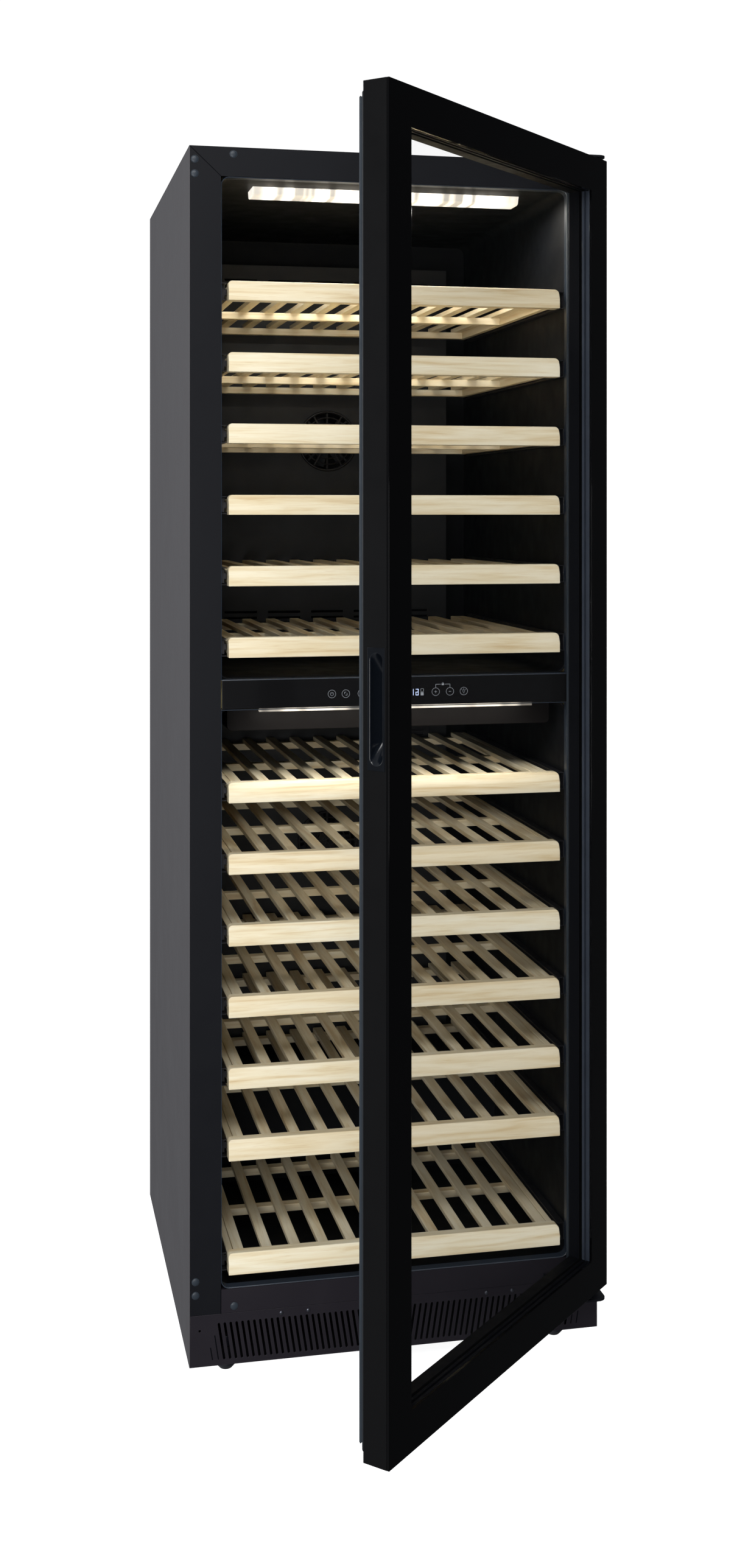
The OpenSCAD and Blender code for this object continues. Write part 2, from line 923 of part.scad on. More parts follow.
module door_frame() {
    on_door()
        color(black_plastic)
            for (side = [-1, 1, -2, 2])
                difference() {
                    intersection() {
                        union() {
                            door_ring(glass_back, pane_back, 0, frame_lip);
                            door_ring(pane_back, door_inner, 0, border);
                        }
                        bar_wedge(side);
                    }
                    slab(-far, -door_edge + handle_depth + 1, handle_y[0], handle_y[1],
                        handle_z[0], handle_z[1]);
                    for (z = [door_bottom, door_top - bush_h])
                        translate([pivot[0], pivot[1], z])
                            cylinder(h = bush_h, r = bush_r);
                }
}

module outer_glass() {
    on_door()
        color([0.05, 0.05, 0.06])
            slab(-door_edge, door_edge, door_outer, glass_back, door_bottom, door_top);
}

module inner_glass() {
    e = door_edge - glazing_edge;
    on_door()
        color([0.6, 0.68, 0.7])
            slab(-e, e, cavity_back, pane_back,
                door_bottom + glazing_edge, door_top - glazing_edge);
}

module glazing_spacer() {
    on_door()
        color(gasket_grey)
            door_ring(glass_back, cavity_back, glazing_edge + 1, border);
}

// Retainer and bellows on the door's inner face, each in four straight lengths
trim_t = 5;
trim_inset = [4, 12, 11];
bellows_inset = [11, 18, 14];
bellows_w = 14;

module gasket_bars(y0, y1, inset, w) {
    left = -door_edge + inset[0];
    right = door_edge - inset[1];
    low = door_bottom + inset[2];
    high = door_top - inset[2];
    slab(left, left + w, y0, y1, low, high);
    slab(right - w, right, y0, y1, low, high);
    for (z = [low, high - w])
        slab(left + w + seam, right - w - seam, y0, y1, z, z + w);
}

module door_gasket() {
    on_door()
        color(gasket_grey) {
            gasket_bars(door_inner, door_inner + trim_t, trim_inset, 30);
            gasket_bars(door_inner + trim_t, front - 0.3, bellows_inset, bellows_w);
        }
}

// Recessed grip in the edge of the door
module handle_insert() {
    y_mid = (handle_y[0] + handle_y[1]) / 2;
    on_door()
        color(black_plastic)
            difference() {
                union() {
                    slab(-door_edge, -door_edge + 1.5, handle_y[0], handle_y[1],
                        handle_z[0], handle_z[1]);
                    slab(-door_edge + 1, -door_edge + handle_depth, handle_y[0] + 1.5,
                        handle_y[1] - 1.5, handle_z[0] + 3, handle_z[1] - 3);
                }
                translate([-door_edge - 1, 0, 0])
                    rotate([90, 0, 90])
                        linear_extrude(handle_depth - 1.5)
                            grip_outline(y_mid, 8.5, handle_z[0] + 6, handle_z[1] - 6);
            }
}

module grip_outline(y, r, z0, z1) {
    translate([y - r, z0 + r])
        square([2 * r, z1 - z0 - 2 * r]);
    for (z = [z0 + r, z1 - r])
        translate([y, z])
            circle(r);
}

side_panels();
top_panel();
back_panel();
insulation();
upper_liner();
lower_liner();
left_stile();
right_stile();
top_rail();
bottom_rail();
hole_plugs();
plinth_grille();
screws();
base_tray();
machine_cover();
cord_gland();
compressor();
compressor_mounts();
condenser();
condenser_fan_frame();
drain_pan();
upper_air_duct();
lower_air_duct();
evaporators();
charcoal_filters();
divider_core();
control_panel();
control_board();
upper_lamp();
lower_lamp();
slide_channels();
top_hinge();
bottom_hinge();
condenser_fan();
upper_fan();
lower_fan();
door_frame();
outer_glass();
inner_glass();
glazing_spacer();
door_gasket();
handle_insert();
hinge_bushes();
front_left_foot();
front_right_foot();
rear_left_foot();
rear_right_foot();
shelf_01();
shelf_02();
shelf_03();
shelf_04();
shelf_05();
shelf_06();
shelf_07();
shelf_08();
shelf_09();
shelf_10();
shelf_11();
shelf_12();
shelf_13();
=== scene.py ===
"""Looks of a two-zone wine cooler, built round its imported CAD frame. Metres."""

import json
import math

import bmesh
import bpy
from mathutils import Matrix, Vector

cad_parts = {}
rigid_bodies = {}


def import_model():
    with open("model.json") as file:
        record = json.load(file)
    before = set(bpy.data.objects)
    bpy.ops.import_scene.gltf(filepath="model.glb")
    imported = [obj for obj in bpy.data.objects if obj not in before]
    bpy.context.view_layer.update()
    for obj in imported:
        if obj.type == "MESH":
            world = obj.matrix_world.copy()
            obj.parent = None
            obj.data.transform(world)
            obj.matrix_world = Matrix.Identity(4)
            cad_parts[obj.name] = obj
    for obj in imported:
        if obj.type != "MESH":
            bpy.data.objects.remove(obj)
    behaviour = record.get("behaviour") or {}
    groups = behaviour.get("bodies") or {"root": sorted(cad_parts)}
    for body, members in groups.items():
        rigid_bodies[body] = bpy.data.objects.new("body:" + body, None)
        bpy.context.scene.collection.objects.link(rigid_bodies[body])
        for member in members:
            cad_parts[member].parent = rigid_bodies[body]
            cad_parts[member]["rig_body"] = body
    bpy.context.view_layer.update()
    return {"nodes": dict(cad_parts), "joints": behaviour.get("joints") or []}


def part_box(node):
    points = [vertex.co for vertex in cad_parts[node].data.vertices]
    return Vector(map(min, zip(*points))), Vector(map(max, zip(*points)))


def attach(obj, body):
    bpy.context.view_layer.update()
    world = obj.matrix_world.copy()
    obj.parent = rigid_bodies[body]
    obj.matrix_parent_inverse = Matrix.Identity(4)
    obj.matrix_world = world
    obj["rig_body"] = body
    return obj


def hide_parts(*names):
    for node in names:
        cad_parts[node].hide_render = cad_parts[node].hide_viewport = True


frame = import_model()
NODES = frame["nodes"]
MM = 0.001

HINGE = next(j for j in frame["joints"] if j["name"] == "door_hinge")
PIVOT = Vector(HINGE["pos_m"])
OPEN_ANGLE = math.radians(-HINGE["range_deg"][0])
# takes a point of the closed door to where the door stands at rest
DOOR = (
    Matrix.Translation(PIVOT)
    @ Matrix.Rotation(OPEN_ANGLE, 4, "Z")
    @ Matrix.Translation(-PIVOT)
)

SHELVES = [f"shelf_{i:02d}" for i in range(1, 14)]
FEET = ["front_left_foot", "front_right_foot", "rear_left_foot", "rear_right_foot"]

# how far a painted seam or a pressed mark stands off its sheet
LINE_HEIGHT = 0.06 * MM
# the strip is in front of this Y and the housing under the divider behind it
HOUSING_FRONT = -0.30
# parts of a shelf longer than this run across it, and the runners lie outside this X
ACROSS, RUNNER_X = 0.4, 0.2425


# ---------------------------------------------------------------- camera


def place_camera():
    """Level, a little to the left of the cabinet's middle, with the frame shifted down."""
    data = bpy.data.cameras.new("camera")
    data.lens = 40.2
    data.sensor_width = 36.0
    data.shift_y = -0.1744
    camera = bpy.data.objects.new("camera", data)
    camera.location = (-0.561, -2.7435, 1.210)
    camera.rotation_euler = (math.radians(90), 0, math.radians(-12.15))
    bpy.context.scene.collection.objects.link(camera)
    bpy.context.scene.camera = camera


# ---------------------------------------------------------------- shader helpers


def tone(red, green, blue):
    """A display colour of 0 to 255 as a linear colour."""
    def linear(v):
        v /= 255
        return v / 12.92 if v <= 0.04045 else ((v + 0.055) / 1.055) ** 2.4
    return (linear(red), linear(green), linear(blue), 1.0)


def scaled(colour, factor):
    """A colour made lighter or darker."""
    return tuple(min(1.0, c * factor) for c in colour[:3]) + (1.0,)


def noise(tree, scale, stretch=(1, 1, 1), detail=3.0, turn=0.0, distortion=0.0):
    """Noise on the object's own coordinates; scale counts features per metre."""
    coords = tree.nodes.new("ShaderNodeTexCoord")
    place = tree.nodes.new("ShaderNodeMapping")
    place.inputs["Scale"].default_value = [scale * s for s in stretch]
    place.inputs["Rotation"].default_value = (0, 0, turn)
    texture = tree.nodes.new("ShaderNodeTexNoise")
    texture.inputs["Scale"].default_value = 1.0
    texture.inputs["Detail"].default_value = detail
    texture.inputs["Distortion"].default_value = distortion
    tree.links.new(coords.outputs["Object"], place.inputs["Vector"])
    tree.links.new(place.outputs["Vector"], texture.inputs["Vector"])
    return texture.outputs["Fac"]


def ramp(tree, value, stops):
    """Colours along a value: stops are (place, colour)."""
    node = tree.nodes.new("ShaderNodeValToRGB")
    elements = node.color_ramp.elements
    while len(elements) < len(stops):
        elements.new(0.5)
    for element, (place, colour) in zip(elements, stops):
        element.position = place
        element.color = colour
    tree.links.new(value, node.inputs["Fac"])
    return node.outputs["Color"]


def span(tree, value, low, high):
    """A value of 0.3 to 0.7, as noise gives, stretched over low to high."""
    node = tree.nodes.new("ShaderNodeMapRange")
    node.inputs["From Min"].default_value = 0.3
    node.inputs["From Max"].default_value = 0.7
    node.inputs["To Min"].default_value = low
    node.inputs["To Max"].default_value = high
    tree.links.new(value, node.inputs["Value"])
    return node.outputs["Result"]


def relief(tree, value, depth, strength=0.6, under=None):
    """Bumps of that depth in metres, on top of other bumps if there are any."""
    node = tree.nodes.new("ShaderNodeBump")
    node.inputs["Strength"].default_value = strength
    node.inputs["Distance"].default_value = depth
    tree.links.new(value, node.inputs["Height"])
    if under is not None:
        tree.links.new(under, node.inputs["Normal"])
    return node.outputs["Normal"]


def new_material(name):
    """A node material with its tree and its shader."""
    material = bpy.data.materials.new(name)
    material.use_nodes = True
    tree = material.node_tree
    return material, tree, tree.nodes["Principled BSDF"]


def surface(name, colour, rough, spread=0.08, patch=9, grain=900, depth=0.02, metallic=0.0,
            stretch=(1, 1, 1), specular=0.5, coat=0.0):
    """A moulded, painted or metal surface: cloudy colour, uneven gloss and a fine grain.

    rough is the range of its roughness, spread how far its colour wanders, patch and grain
    the clouds and grains in a metre, and depth the grain's height in millimetres.
    """
    material, tree, shader = new_material(name)
    cloud = noise(tree, patch, detail=5.0)
    fine = noise(tree, grain, stretch=stretch, detail=2.0)
    shader.inputs["Metallic"].default_value = metallic
    shader.inputs["Specular IOR Level"].default_value = specular
    shader.inputs["Coat Weight"].default_value = coat
    shader.inputs["Coat Roughness"].default_value = 0.05
    stops = [(0.3, scaled(colour, 1 - spread)), (0.7, scaled(colour, 1 + spread))]
    tree.links.new(ramp(tree, cloud, stops), shader.inputs["Base Color"])
    mottled = noise(tree, patch * 5, stretch=stretch, detail=6.0)
    tree.links.new(span(tree, mottled, rough[0], rough[1]), shader.inputs["Roughness"])
    tree.links.new(relief(tree, fine, depth * MM), shader.inputs["Normal"])
    return material


def wood(name, along):
    """Pale varnished beech with its grain along the X or Y axis: growth bands and small flecks."""
    material, tree, shader = new_material(name)
    long_way = {"x": (0.06, 1, 1), "y": (1, 0.06, 1)}[along]
    bands = noise(tree, 130, stretch=long_way, detail=5.0, distortion=0.5)
    boards = noise(tree, 7, stretch=long_way, detail=1.0)
    flecks = noise(tree, 900, stretch=tuple(0.04 if s < 1 else 1 for s in long_way), detail=2.0)
    pale = ramp(tree, bands, [
        (0.28, tone(223, 201, 161)), (0.42, tone(237, 223, 190)),
        (0.54, tone(244, 234, 207)), (0.70, tone(249, 242, 220))])
    drift = ramp(tree, boards, [(0.35, tone(246, 239, 226)), (0.65, tone(255, 254, 250))])
    specks = ramp(tree, flecks, [(0.30, tone(230, 214, 192)), (0.42, tone(255, 255, 255))])
    mixed = pale
    for layer, strength in ((drift, 0.8), (specks, 0.35)):
        node = tree.nodes.new("ShaderNodeMix")
        node.data_type = "RGBA"
        node.blend_type = "MULTIPLY"
        node.inputs["Factor"].default_value = strength
        tree.links.new(mixed, node.inputs[6])
        tree.links.new(layer, node.inputs[7])
        mixed = node.outputs[2]
    tree.links.new(mixed, shader.inputs["Base Color"])
    tree.links.new(span(tree, bands, 0.42, 0.60), shader.inputs["Roughness"])
    coarse = relief(tree, bands, 0.12 * MM, strength=0.35)
    tree.links.new(relief(tree, flecks, 0.05 * MM, strength=0.3, under=coarse),
                   shader.inputs["Normal"])
    shader.inputs["Specular IOR Level"].default_value = 0.35
    return material


def glowing(name, colour, strength, grain=300, dip=0.9):
    """A lit diffuser: its brightness dips from one diode to the next."""
    material, tree, shader = new_material(name)
    wave = noise(tree, grain, stretch=(1, 0.02, 0.02), detail=1.0)
    stops = [(0.38, scaled(colour, dip)), (0.58, colour)]
    glow = ramp(tree, wave, stops)
    tree.links.new(glow, shader.inputs["Emission Color"])
    tree.links.new(glow, shader.inputs["Base Color"])
    shader.inputs["Emission Strength"].default_value = strength
    shader.inputs["Roughness"].default_value = 0.4
    return material


def clear_pane(name):
    """Thin clear glass, with faint uneven gloss."""
    material, tree, shader = new_material(name)
    stops = [(0.3, tone(10, 13, 14)), (0.7, tone(14, 18, 19))]
    tree.links.new(ramp(tree, noise(tree, 4, detail=2.0), stops), shader.inputs["Base Color"])
    tree.links.new(span(tree, noise(tree, 30), 0.01, 0.03), shader.inputs["Roughness"])
    shader.inputs["Alpha"].default_value = 0.03
    return material


def circuit(name):
    """Green solder mask with fine copper tracks."""
    material, tree, shader = new_material(name)
    tracks = noise(tree, 260, stretch=(1, 1, 0.2), detail=0.0)
    stops = [(0.46, tone(14, 58, 34)), (0.48, tone(38, 104, 62)),
             (0.52, tone(38, 104, 62)), (0.54, tone(14, 58, 34))]
    tree.links.new(ramp(tree, tracks, stops), shader.inputs["Base Color"])
    tree.links.new(span(tree, tracks, 0.3, 0.45), shader.inputs["Roughness"])
    tree.links.new(relief(tree, tracks, 0.03 * MM), shader.inputs["Normal"])
    return material


SKINS = {
    "side": surface("side_paint", tone(72, 70, 73), (0.45, 0.55), 0.02, 3, 700, 0.006,
                    specular=0.3),
    "frame": surface("frame_paint", tone(20, 21, 25), (0.40, 0.50), 0.06, 5, 800, 0.008,
                     specular=0.11),
    "plinth": surface("plinth_paint", tone(33, 30, 36), (0.40, 0.50), 0.06, 5, 800, 0.012,
                      specular=0.2),
    "steel": surface("zinc_steel", tone(128, 132, 136), (0.36, 0.48), 0.06, 40, 500, 0.01, 0.35),
    # dark paint, so that the plinth's vents look black: painted shade behind them
    "tray": surface("tray_paint_dark_shade", tone(20, 20, 23), (0.5, 0.65), 0.08, 8, 700, 0.015,
                    specular=0.15),
    "bright": surface("screw_steel", tone(84, 86, 94), (0.24, 0.36), 0.10, 40, 900, 0.01, 0.85),
    "liner": surface("liner_plastic", tone(9, 11, 15), (0.48, 0.62), 0.10, 6, 1100, 0.03,
                     specular=0.12),
    # lighter and glossier than the liner plastic it is part of: a painted sheen along the edge
    "lip": surface("liner_edge_painted_sheen", tone(42, 50, 61), (0.28, 0.38), 0.10, 6, 1100, 0.01,
                   specular=0.6),
    "duct": surface("duct_plastic", tone(27, 29, 32), (0.42, 0.58), 0.10, 6, 1000, 0.04,
                    specular=0.35),
    "black": surface("black_plastic", tone(20, 20, 23), (0.36, 0.52), 0.10, 8, 900, 0.03,
                     specular=0.4),
    "housing": surface("housing_plastic", tone(11, 9, 9), (0.5, 0.65), 0.10, 8, 900, 0.03,
                       specular=0.08),
    "plug": surface("plug_plastic", tone(47, 54, 62), (0.30, 0.42), 0.06, 20, 900, 0.02,
                    specular=0.3),
    "gloss": surface("panel_gloss", tone(20, 20, 21), (0.05, 0.12), 0.06, 6, 500, 0.002,
                     specular=0.18),
    "runner": surface("runner_steel", tone(46, 46, 50), (0.30, 0.42), 0.08, 12, 600, 0.008, 0.6),
    "door_edge": surface("door_frame_paint", tone(14, 14, 15), (0.40, 0.50), 0.06, 6, 900, 0.01,
                         specular=0.07),
    # near-black painted shade: the door frame's sides towards the window, the spacer's level runs
    # and the plinth's pressed marks; also the frame's seams
    "window_edge": surface("window_edge", tone(7, 8, 12), (0.45, 0.6), 0.08, 10, 800, 0.01,
                           specular=0.05),
    "grip": surface("grip_plate", tone(9, 12, 17), (0.34, 0.44), 0.08, 12, 900, 0.01,
                    specular=0.12),
    "scoop": surface("grip_gloss", tone(13, 17, 23), (0.10, 0.18), 0.08, 12, 700, 0.004,
                     specular=0.5),
    "border": surface("glass_border", tone(4, 4, 5), (0.03, 0.07), 0.10, 4, 200, 0.001,
                      specular=0.12),
    "spacer": surface("spacer_metal", tone(44, 50, 60), (0.34, 0.46), 0.10, 30, 900, 0.01, 0.3,
                      specular=0.3),
    "gasket": surface("gasket_rubber", tone(42, 50, 58), (0.55, 0.7), 0.08, 20, 1500, 0.03,
                      specular=0.3),
    "trim": surface("gasket_trim", tone(29, 33, 38), (0.5, 0.65), 0.08, 20, 1500, 0.03,
                    specular=0.3),
    "rubber": surface("rubber", tone(28, 28, 30), (0.6, 0.8), 0.10, 20, 1300, 0.06,
                      specular=0.3),
    "foot": surface("foot_plastic", tone(24, 26, 34), (0.35, 0.5), 0.10, 20, 900, 0.02),
    "fan": surface("fan_plastic", tone(48, 50, 54), (0.35, 0.5), 0.08, 16, 900, 0.02),
    "foam": surface("foam", tone(222, 205, 150), (0.8, 0.95), 0.10, 30, 380, 0.4),
    "copper": surface("coil_metal", tone(176, 150, 128), (0.3, 0.5), 0.14, 30, 900, 0.02, 0.9),
    "compressor": surface("compressor_paint", tone(22, 22, 24), (0.30, 0.42), 0.06, 12, 600,
                          0.03, coat=0.3),
    "nylon": surface("nylon", tone(58, 58, 60), (0.4, 0.55), 0.05, 30, 900, 0.02),
    # the symbols are printed, not lit: their faint glow is painted light
    "symbol": glowing("symbol_print_painted_glow", tone(150, 154, 160), 0.35),
    "digit": glowing("digit_light", tone(208, 222, 255), 1.1),
    "lamp": glowing("lamp_light", tone(255, 249, 238), 1.5, grain=60, dip=0.32),
    "lamp_strip": glowing("lamp_strip_light", tone(255, 244, 226), 0.8, grain=24, dip=0.15),
    "pane": clear_pane("clear_glass"),
    "circuit": circuit("circuit_board"),
    "wood_x": wood("beech_across", "x"),
    "wood_y": wood("beech_along", "y"),
}


# ---------------------------------------------------------------- mesh helpers


def lathe(bm, profile, centre, axis, steps=40):
    """Turns a profile of (radius, distance along the axis) about an axis through centre."""
    axis = Vector(axis).normalized()
    side = axis.orthogonal().normalized()
    up = axis.cross(side)
    rings = []
    for radius, along in profile:
        if radius < 1e-7:
            rings.append([bm.verts.new(Vector(centre) + axis * along)])
            continue
        rings.append([
            bm.verts.new(Vector(centre) + axis * along
                         + side * radius * math.cos(math.tau * i / steps)
                         + up * radius * math.sin(math.tau * i / steps))
            for i in range(steps)])
    for a, b in zip(rings, rings[1:]):
        for i in range(steps):
            j = (i + 1) % steps
            if len(a) == 1:
                bm.faces.new((a[0], b[i], b[j]))
            elif len(b) == 1:
                bm.faces.new((a[i], b[0], a[j]))
            else:
                bm.faces.new((a[i], b[i], b[j], a[j]))


def block(bm, low, high):
    """A box from its two corners."""
    made = bmesh.ops.create_cube(bm, size=1.0)["verts"]
    low, high = Vector(low), Vector(high)
    for v in made:
        v.co = Vector(low[i] + (v.co[i] + 0.5) * (high[i] - low[i]) for i in range(3))
    return made


def loop_round(bm, profile, x0, x1, z0, z1):
    """A closed profile of (inset, y) run round a rectangle, mitred at its four corners."""
    corners = []
    for sx, sz in ((0, 0), (1, 0), (1, 1), (0, 1)):
        corners.append([
            bm.verts.new((x0 + w if sx == 0 else x1 - w, y, z0 + w if sz == 0 else z1 - w))
            for w, y in profile])
    for k in range(4):
        a, b = corners[k], corners[(k + 1) % 4]
        for i in range(len(profile)):
            j = (i + 1) % len(profile)
            bm.faces.new((a[i], b[i], b[j], a[j]))


def rounded_path(x0, x1, z0, z1, high, low, steps=8):
    """Points round a rectangle whose corners are rounded by high above and low below.

    Each point is (x, z, outward x, outward z).
    """
    path = []
    for cx, cz, radius, start in (
            (x1 - high, z1 - high, high, 0), (x0 + high, z1 - high, high, 90),
            (x0 + low, z0 + low, low, 180), (x1 - low, z0 + low, low, 270)):
        for i in range(steps + 1):
            a = math.radians(start + 90 * i / steps)
            path.append((cx + radius * math.cos(a), cz + radius * math.sin(a),
                         math.cos(a), math.sin(a)))
    return path


def ribbon(bm, path, profile):
    """A closed profile of (outward, y) run along a closed path of rounded_path's points."""
    rings = [[bm.verts.new((x + nx * w, y, z + nz * w)) for w, y in profile]
             for x, z, nx, nz in path]
    for k, a in enumerate(rings):
        b = rings[(k + 1) % len(rings)]
        for i in range(len(profile)):
            j = (i + 1) % len(profile)
            bm.faces.new((a[i], b[i], b[j], a[j]))


def plate(outline, holes, thickness, rounding):
    """A mesh of a plate in X and Z, with holes, from y = 0 to y = thickness."""
    curve = bpy.data.curves.new("plate", "CURVE")
    curve.dimensions = "2D"
    curve.fill_mode = "BOTH"
    curve.extrude = thickness / 2 - rounding
    curve.bevel_depth = rounding
    curve.bevel_resolution = 2
    curve.offset = -rounding
    for points in [outline] + holes:
        spline = curve.splines.new("POLY")
        spline.points.add(len(points) - 1)
        for point, (x, z) in zip(spline.points, points):
            point.co = (x, z, 0, 1)
        spline.use_cyclic_u = True
    maker = bpy.data.objects.new("plate", curve)
    bpy.context.scene.collection.objects.link(maker)
    bpy.context.view_layer.update()
    mesh = bpy.data.meshes.new_from_object(
        maker.evaluated_get(bpy.context.evaluated_depsgraph_get()))
    bpy.data.objects.remove(maker)
    bpy.data.curves.remove(curve)
    mesh.materials.clear()
    upright = Matrix.Rotation(math.pi / 2, 4, "X")
    mesh.transform(Matrix.Translation((0, thickness / 2, 0)) @ upright)
    return mesh


def slot_outline(x, z, length, width, lean, steps=6):
    """A slot with round ends, leaning to the right by lean from bottom to top."""
    along = Vector((lean, length - width)).normalized()
    half = math.hypot(lean, length - width) / 2
    angle = math.atan2(along.y, along.x)
    points = []
    for end, start in ((1, angle - math.pi / 2), (-1, angle + math.pi / 2)):
        for i in range(steps + 1):
            a = start + math.pi * i / steps
            points.append((x + end * along.x * half + width / 2 * math.cos(a),
                           z + end * along.y * half + width / 2 * math.sin(a)))
    return points


def finish_mesh(mesh, smooth):
    """Smooth shading, with edges sharper than smooth degrees kept sharp."""
    if "custom_normal" in mesh.attributes:
        mesh.attributes.remove(mesh.attributes["custom_normal"])
    mesh.polygons.foreach_set("use_smooth", [True] * len(mesh.polygons))
    mesh.set_sharp_from_angle(angle=math.radians(smooth))


def piece(name, shape, skins, body, hides=(), bevel=0.0, smooth=35, moved=None):
    """A finished object from a mesh or bmesh: shaded, bevelled, and riding on its body.

    bevel is in millimetres and smooth in degrees. moved carries the mesh somewhere else.
    """
    if isinstance(shape, bmesh.types.BMesh):
        bmesh.ops.recalc_face_normals(shape, faces=shape.faces)
        mesh = bpy.data.meshes.new(name)
        shape.to_mesh(mesh)
        shape.free()
    else:
        mesh = shape
    if moved is not None:
        mesh.transform(moved)
    finish_mesh(mesh, smooth)
    for skin in [skins] if isinstance(skins, str) else skins:
        mesh.materials.append(SKINS[skin])
    obj = bpy.data.objects.new(name, mesh)
    bpy.context.scene.collection.objects.link(obj)
    if bevel:
        rounding = obj.modifiers.new("edges", "BEVEL")
        rounding.width = bevel * MM
        rounding.segments = 2
        rounding.limit_method = "ANGLE"
        rounding.angle_limit = math.radians(35)
        rounding.harden_normals = True
    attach(obj, body)
    if hides:
        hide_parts(*hides)
    return obj


def merged(node):
    """The CAD node as one clean mesh: shared corners, and flat faces without their triangles."""
    bm = bmesh.new()
    bm.from_mesh(NODES[node].data)
    bmesh.ops.remove_doubles(bm, verts=bm.verts, dist=2e-6)
    bmesh.ops.dissolve_limit(bm, angle_limit=math.radians(0.5), verts=bm.verts[:],
                             edges=bm.edges[:])
    return bm


def islands(bm):
    """The separate solids of a mesh, each as a list of faces."""
    left = set(bm.faces)
    found = []
    while left:
        group, queue = [], [left.pop()]
        while queue:
            face = queue.pop()
            group.append(face)
            for edge in face.edges:
                for other in edge.link_faces:
                    if other in left:
                        left.remove(other)
                        queue.append(other)
        found.append(group)
    return found


def extent(faces):
    """Lowest and highest corner of some faces."""
    points = [v.co for f in faces for v in f.verts]
    return (Vector(min(p[i] for p in points) for i in range(3)),
            Vector(max(p[i] for p in points) for i in range(3)))


def body_of_node(node):
    return NODES[node]["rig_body"]


def refined(node, skins, bevel=0.6, choose=None, smooth=35):
    """A copy of the CAD node with softened edges. choose picks a skin's number for a solid."""
    bm = merged(node)
    for face in bm.faces:
        face.material_index = 0
    if choose:
        for group in islands(bm):
            number = choose(*extent(group))
            for face in group:
                face.material_index = number
    piece(node + "_finished", bm, skins, body_of_node(node), (node,),
          bevel, smooth)


def dressed(node, skin):
    """The CAD node itself, with a finished material."""
    mesh = NODES[node].data
    for i in range(max(1, len(mesh.materials))):
        if len(mesh.materials) <= i:
            mesh.materials.append(SKINS[skin])
        else:
            mesh.materials[i] = SKINS[skin]


# ---------------------------------------------------------------- cabinet


def refine_all(*rows):
    """refined for each row of node, skin and bevel."""
    for node, skin, bevel in rows:
        refined(node, skin, bevel)


def cabinet_skin():
    """The cabinet's panels, front frame, hinges and screws."""
    refine_all(
        ("side_panels", "side", 0.35), ("top_panel", "frame", 0.35),
        ("back_panel", "steel", 0.35), ("machine_cover", "steel", 0.3),
        ("base_tray", "tray", 0.3), ("cord_gland", "rubber", 0.6),
        ("left_stile", "frame", 0.6), ("right_stile", "frame", 0.6),
        # the bottom rail takes the plinth's lighter paint: partly the colour it shows, partly
        # painted light making up for the light falling off towards the floor
        ("top_rail", "frame", 0.6), ("bottom_rail", "plinth", 0.6))
    frame_seams()
    refine_all(
        ("top_hinge", "frame", 0.7), ("bottom_hinge", "frame", 0.7), ("screws", "bright", 0.3))


def frame_seams():
    """The dark lines where the stiles meet the rails: mitred above, upright below."""
    outer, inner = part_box("right_stile")[1].x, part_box("right_stile")[0].x
    top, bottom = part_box("top_rail"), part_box("bottom_rail")
    shape = bmesh.new()
    for side in (-1, 1):
        for a, b in (((outer, top[1].z), (inner, top[0].z)),
                     ((inner, bottom[0].z), (inner, bottom[1].z))):
            bar(shape, (side * a[0], a[1]), (side * b[0], b[1]), 1.2 * MM, top[0].y, LINE_HEIGHT)
    piece("frame_seams", shape, "window_edge", "cabinet")


def hole_plugs():
    """Domed caps over the unused hinge holes, each with a thin rim."""
    bm = merged("hole_plugs")
    caps = [extent(group) for group in islands(bm)]
    bm.free()
    shape = bmesh.new()
    for low, high in caps:
        radius = (high.x - low.x) / 2
        centre = ((low.x + high.x) / 2, high.y, (low.z + high.z) / 2)
        depth = high.y - low.y
        stem, dome = radius * 0.55, 1.3 * MM
        profile = [(stem, 0), (stem, depth - 2.2 * MM), (radius, depth - 1.9 * MM),
                   (radius * 0.99, depth - dome)]
        profile += [(radius * 0.93 * math.cos(a), depth - dome + dome * math.sin(a))
                    for a in [math.radians(15 * k) for k in range(7)]]
        profile[-1] = (0, depth)
        lathe(shape, profile, centre, (0, -1, 0))
    piece("hole_plugs_domed", shape, "plug", "cabinet", ("hole_plugs",), smooth=50)


def plinth():
    """The plinth with two banks of leaning vents, and short pressed marks past their ends, drawn
    as dark lines of painted shade.
    """
    low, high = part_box("plinth_grille")
    pitch, count, width, lean = 8.28 * MM, 31, 3.3 * MM, 7.5 * MM
    bottom, top = 27.5 * MM, 79 * MM
    hole_x, hole_z, hole_r = 283 * MM, 70 * MM, 1.6 * MM
    mark_width, sheet_thickness = 1.6 * MM, 1.4 * MM
    holes = []
    marks = bmesh.new()
    for side in (-1, 1):
        for k in range(count):
            x = side * pitch * (k + 0.5)
            holes.append(slot_outline(x, (bottom + top) / 2, top - bottom, width, side * lean))
        holes.append([(side * hole_x + hole_r * math.cos(a), hole_z + hole_r * math.sin(a))
                      for a in [math.tau * i / 16 for i in range(16)]])
        # the marks get shorter, and start where the vents do
        for k, reach in ((count, 0.66), (count + 1, 0.34)):
            x = side * (pitch * (k + 0.5) - lean / 2)
            tip = (x + side * lean * reach, bottom + (top - bottom) * reach)
            bar(marks, (x, bottom + width / 2), tip, mark_width, low.y, LINE_HEIGHT)
    # the marks are dark lines: painted shade standing in for their pressed grooves
    piece("plinth_mark_shade_lines", marks, "window_edge", "cabinet")
    outline = [(low.x, low.z), (high.x, low.z), (high.x, high.z), (low.x, high.z)]
    sheet = plate(outline, holes, sheet_thickness, 0.3 * MM)
    sheet.transform(Matrix.Translation((0, low.y, 0)))
    piece("plinth_grille_finished", sheet, "plinth", "cabinet",
          ("plinth_grille",), smooth=40)


